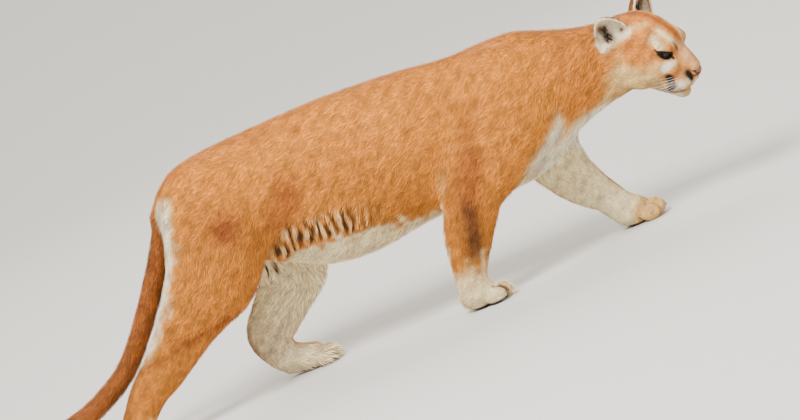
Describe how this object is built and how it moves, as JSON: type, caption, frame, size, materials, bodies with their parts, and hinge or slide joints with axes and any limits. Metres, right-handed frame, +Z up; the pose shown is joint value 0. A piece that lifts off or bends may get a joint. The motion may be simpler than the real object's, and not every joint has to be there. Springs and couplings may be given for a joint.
{
  "type": "life-size cougar model",
  "caption": "Life-size model of a cougar in mid stride, head turned to its right, tail hanging low behind, standing on its four paws.",
  "frame": {"origin": "on the floor, under the middle of the animal's box", "axes": "+X forward along the body, +Y to the animal's left, +Z up"},
  "size_m": [1.7908, 0.2934, 0.5949],
  "materials": {
    "tawny_coat": "short dense tawny fur, matte",
    "pale_coat": "short cream fur, matte",
    "tail_coat": "short brown fur, matte",
    "dark_coat": "short blackish brown fur, matte",
    "eye": "wet gloss"
  },
  "bodies": {
    "root": {"ear_left": "tawny_coat", "ear_right": "tawny_coat", "eye_left": "eye", "eye_right": "eye", "forearm_left": "tawny_coat", "forearm_right": "tawny_coat", "head": "tawny_coat", "metatarsus_left": "tawny_coat", "metatarsus_right": "tawny_coat", "neck": "tawny_coat", "paw_fore_left": "pale_coat", "paw_fore_right": "pale_coat", "paw_hind_left": "pale_coat", "paw_hind_right": "pale_coat", "shin_left": "tawny_coat", "shin_right": "tawny_coat", "tail_base": "tawny_coat", "tail_lower": "tail_coat", "tail_tip": "dark_coat", "tail_upper": "tail_coat", "thigh_left": "tawny_coat", "thigh_right": "tawny_coat", "torso_front": "tawny_coat", "torso_middle": "tawny_coat", "torso_rear": "tawny_coat", "upper_arm_left": "tawny_coat", "upper_arm_right": "tawny_coat"}
  },
  "joints": []
}
